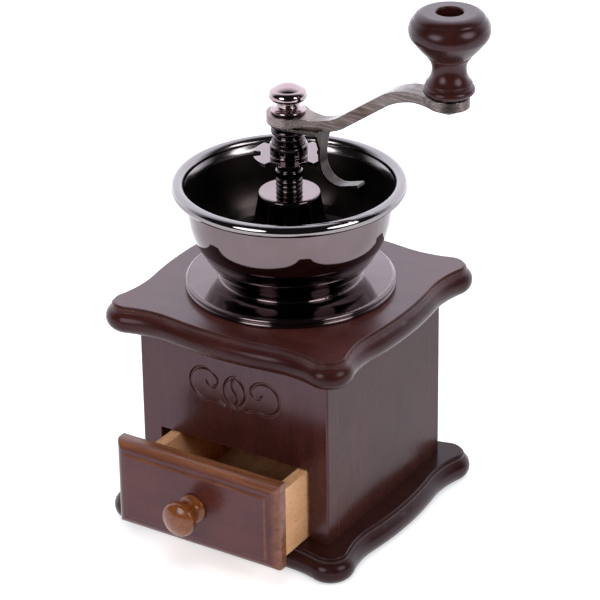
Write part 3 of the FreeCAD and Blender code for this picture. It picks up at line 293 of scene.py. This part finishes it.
def brushed_steel(name, axis, dark=1.0):
    """Darkened steel with brushing marks along one axis, a brown patina and painted highlights on
    its edges.
    """
    metal = Surface(name)
    brush = metal.noise(metal.scaled(metal.where, along(axis, 1500, 38)), 1.0, 5, 0.6, 0.3)
    patina = metal.noise(metal.scaled(metal.where, along(axis, 190, 60)), 1.0, 5, 0.6, 0.8)
    tone = metal.blend(metal.spread(patina, 0.36, 0.66), tinted((0.250, 0.212, 0.205), dark),
                       tinted((0.130, 0.090, 0.078), dark))
    tone = metal.blend(metal.spread(brush, 0.40, 0.66, 0.0, 0.8), tone,
                       tinted((0.060, 0.046, 0.042), dark))
    # Painted highlight along the sharp edges.
    metal.colour(metal.blend(metal.maths("MULTIPLY", convex_edges(metal, 0.0005), 0.5), tone,
                             rgb(0.42, 0.38, 0.37)))
    metal.roughness(metal.spread(brush, 0.3, 0.7, 0.20, 0.36))
    metal.bump(brush, 0.12, 0.0002, edge=0.0004)
    metal.set(Metallic=1.0)
    return metal


def crank_steel():
    """Brushed steel of the crank, polished brighter round the spindle."""
    polish_start, polish_end = 0.017, 0.009
    metal = brushed_steel("crank_steel", "x")
    hub = metal.spread(metal.split(metal.where)["X"], polish_start, polish_end, 0.0, 0.4)
    metal.colour(metal.blend(hub, metal.present("Base Color"), rgb(0.36, 0.28, 0.26)))
    return metal


def cast_iron():
    """Grey iron as cast, rough and faintly stained."""
    iron = Surface("cast_iron")
    grain = iron.noise(iron.where, 1400.0, 4, 0.6)
    stain = iron.noise(iron.where, 90.0, 4, 0.6)
    iron.colour(iron.blend(iron.spread(stain, 0.35, 0.7), rgb(0.06, 0.058, 0.058),
                           rgb(0.115, 0.105, 0.10)))
    iron.roughness(iron.spread(stain, 0.3, 0.7, 0.5, 0.72))
    iron.bump(grain, 0.35, 0.0004)
    iron.set(Metallic=0.85)
    return iron


# ---------------------------------------------------------------- materials on the pieces

WOOD_TOP = stained_wood("stained_wood_top", "x", 0.85, side_gloss=0.18,
                        painted_side_shade=0.5, wear_and_highlight_width=0.0007, wear_and_highlight=0.4)
WOOD_BASE = stained_wood("stained_wood_base", "x", 0.34, gloss=0.1, side_gloss=0.2,
                         painted_side_shade=0.8, wear_and_highlight_width=0.0007, wear_and_highlight=0.3)
WOOD_DRAWER = drawer_wood()
WOOD_CASE = stained_wood("stained_wood_case", "z", 0.56, side_gloss=0.50, flank_gloss=0.165)
WOOD_DARK = stained_wood("stained_wood_dark", "z", 0.4, side_gloss=0.3)
BEECH_X = raw_beech("beech_x", "x")
BEECH_Y = raw_beech("beech_y", "y")
BEECH_Z = raw_beech("beech_z", "z")
AMBER_WOOD = amber_wood()
HOPPER_NICKEL = hopper_nickel()
FLANGE_NICKEL = black_nickel("flange_nickel", 0.95, shine=0.07)
TURNED_NICKEL = black_nickel("turned_nickel", 0.5, shine=0.13)
BRIGHT_NICKEL = black_nickel("bright_nickel", 1.65, edge_highlight=0.7, painted_side_shade=0.3)
CAP_NICKEL = black_nickel("cap_nickel", 2.6)
CRANK_STEEL = crank_steel()
SHAFT_STEEL = brushed_steel("brushed_steel_z", "z", 0.5)
CLIP_STEEL = brushed_steel("clip_steel", "z", 0.34)
CAST_IRON = cast_iron()

FINISHES = {
    WOOD_TOP: ["top_board"],
    WOOD_BASE: ["base_board"],
    WOOD_DRAWER: ["drawer_front"],
    WOOD_CASE: ["front_panel", "back_panel", "left_panel", "right_panel"],
    WOOD_DARK: ["handle_knob"],
    BEECH_X: ["drawer_inner_front", "drawer_back"],
    BEECH_Y: ["drawer_side_left", "drawer_side_right", "drawer_bottom", "drawer_guide_left",
              "drawer_guide_right"],
    BEECH_Z: ["top_dowels"],
    AMBER_WOOD: ["drawer_knob"],
    HOPPER_NICKEL: ["hopper_bowl"],
    FLANGE_NICKEL: ["hopper_flange"],
    TURNED_NICKEL: ["hub_bushing", "keyed_collar"],
    BRIGHT_NICKEL: ["bridge", "adjusting_nut"],
    CAP_NICKEL: ["cap_nut"],
    CRANK_STEEL: ["crank_arm", "handle_nut", "handle_washer", "handle_screw"],
    CLIP_STEEL: ["locking_clip"],
    SHAFT_STEEL: ["spindle_shaft", "base_screws", "drawer_knob_screw",
                  "bridge_screws", "burr_washer", "burr_nut", "burr_spring", "inner_burr",
                  "outer_burr"],
    CAST_IRON: ["burr_housing"],
}


for surface, names in FINISHES.items():
    for name in names:
        for place in nodes[name].material_slots:
            place.material = surface.material


# ---------------------------------------------------------------- stage, light, camera

VIEW_AZIMUTH = 32.65


def floor_material():
    """White paper that brightens away from the camera, as a lit cove does."""
    paper = Surface("pale_floor")
    mottle = paper.noise(paper.where, 3.0, 3)
    paper.colour(paper.blend(paper.spread(mottle, 0.3, 0.7), rgb(0.80, 0.80, 0.80),
                             rgb(0.83, 0.83, 0.83)))
    paper.roughness(paper.spread(mottle, 0.3, 0.7, 0.75, 0.85))
    away = paper.split(paper.where)["Y"]
    paper.feed(paper.shader.inputs["Emission Strength"], paper.spread(away, 0.25, 0.9, 0.55, 1.7))
    paper.set(Specular_IOR_Level=0.1, Emission_Color=rgb(0.95, 0.97, 1.0))
    return paper


def make_floor():
    """White table: its near edge is in front of the object, and it runs far out behind."""
    half, near, far = 12.0, 0.38, 24.0
    mesh = bpy.data.meshes.new("floor")
    mesh.from_pydata([(-half, -near, 0), (half, -near, 0), (half, far, 0), (-half, far, 0)],
                     [], [(0, 1, 2, 3)])
    floor = bpy.data.objects.new("floor", mesh)
    floor.rotation_euler.z = math.radians(VIEW_AZIMUTH)
    mesh.materials.append(floor_material().material)
    bpy.context.collection.objects.link(floor)


def direction(azimuth, elevation):
    """Unit vector toward a viewer: azimuth 0 is in front, positive to the right."""
    a, e = math.radians(azimuth), math.radians(elevation)
    return Vector((math.sin(a) * math.cos(e), -math.cos(a) * math.cos(e), math.sin(e)))


def area_light(name, azimuth, elevation, distance, size, power, mirrored=True):
    """Round softbox aimed at the middle of the mill; glossy surfaces show it if mirrored."""
    data = bpy.data.lights.new(name, "AREA")
    data.shape = "DISK"
    data.size = size
    data.energy = power
    lamp = bpy.data.objects.new(name, data)
    lamp.visible_glossy = mirrored
    bpy.context.collection.objects.link(lamp)
    toward = direction(azimuth, elevation)
    lamp.location = Vector((0, 0, 0.1)) + toward * distance
    lamp.rotation_euler = toward.to_track_quat("Z", "Y").to_euler()


def make_world(azimuth):
    """White cove behind the object as seen from the given azimuth, dark room on the near side."""
    world = bpy.data.worlds.new("studio")
    bpy.context.scene.world = world
    world.use_nodes = True
    tree = world.node_tree
    coords = tree.nodes.new("ShaderNodeTexCoord")
    facing = tree.nodes.new("ShaderNodeVectorMath")
    facing.operation = "DOT_PRODUCT"
    facing.inputs[1].default_value = -direction(azimuth, 0)
    ramp = tree.nodes.new("ShaderNodeValToRGB")
    tree.links.new(coords.outputs["Generated"], facing.inputs[0])
    tree.links.new(facing.outputs["Value"], ramp.inputs["Fac"])
    stops = ramp.color_ramp.elements
    stops[0].position, stops[0].color = 0.0, rgb(0.012, 0.012, 0.013)
    stops[1].position, stops[1].color = 0.5, rgb(0.98, 1.0, 1.1)
    background = tree.nodes["Background"]
    tree.links.new(ramp.outputs["Color"], background.inputs["Color"])
    background.inputs["Strength"].default_value = 1.8


def make_camera():
    """Long lens above and to the right of the drawer, looking at the spindle."""
    elevation, roll = 26.401, -0.9
    distance = 1.2
    pivot = Vector((0, 0, 0.098163))
    sensor, lens = 36.0, 176.789
    back = direction(VIEW_AZIMUTH, elevation)
    right = direction(VIEW_AZIMUTH + 90, 0)
    up = back.cross(right)
    turn = Matrix.Rotation(math.radians(roll), 3, back)
    data = bpy.data.cameras.new("camera")
    data.sensor_width = sensor
    data.lens = lens
    data.shift_x = 0.015152
    data.shift_y = -0.024155
    data.clip_start, data.clip_end = 0.05, 60.0
    camera = bpy.data.objects.new("camera", data)
    bpy.context.collection.objects.link(camera)
    basis = Matrix((turn @ right, turn @ up, back)).transposed()
    camera.matrix_world = Matrix.Translation(pivot + back * distance) @ basis.to_4x4()
    bpy.context.scene.camera = camera


make_floor()
make_world(VIEW_AZIMUTH)
area_light("left_softbox", VIEW_AZIMUTH - 38, 20, 0.9, 0.48, 3.2)
area_light("right_softbox", VIEW_AZIMUTH + 52, 26, 0.9, 0.48, 2.8)
area_light("front_fill", VIEW_AZIMUTH - 4, 50, 1.0, 0.40, 3.0, mirrored=False)
make_camera()
bpy.context.scene.view_settings.view_transform = "Standard"
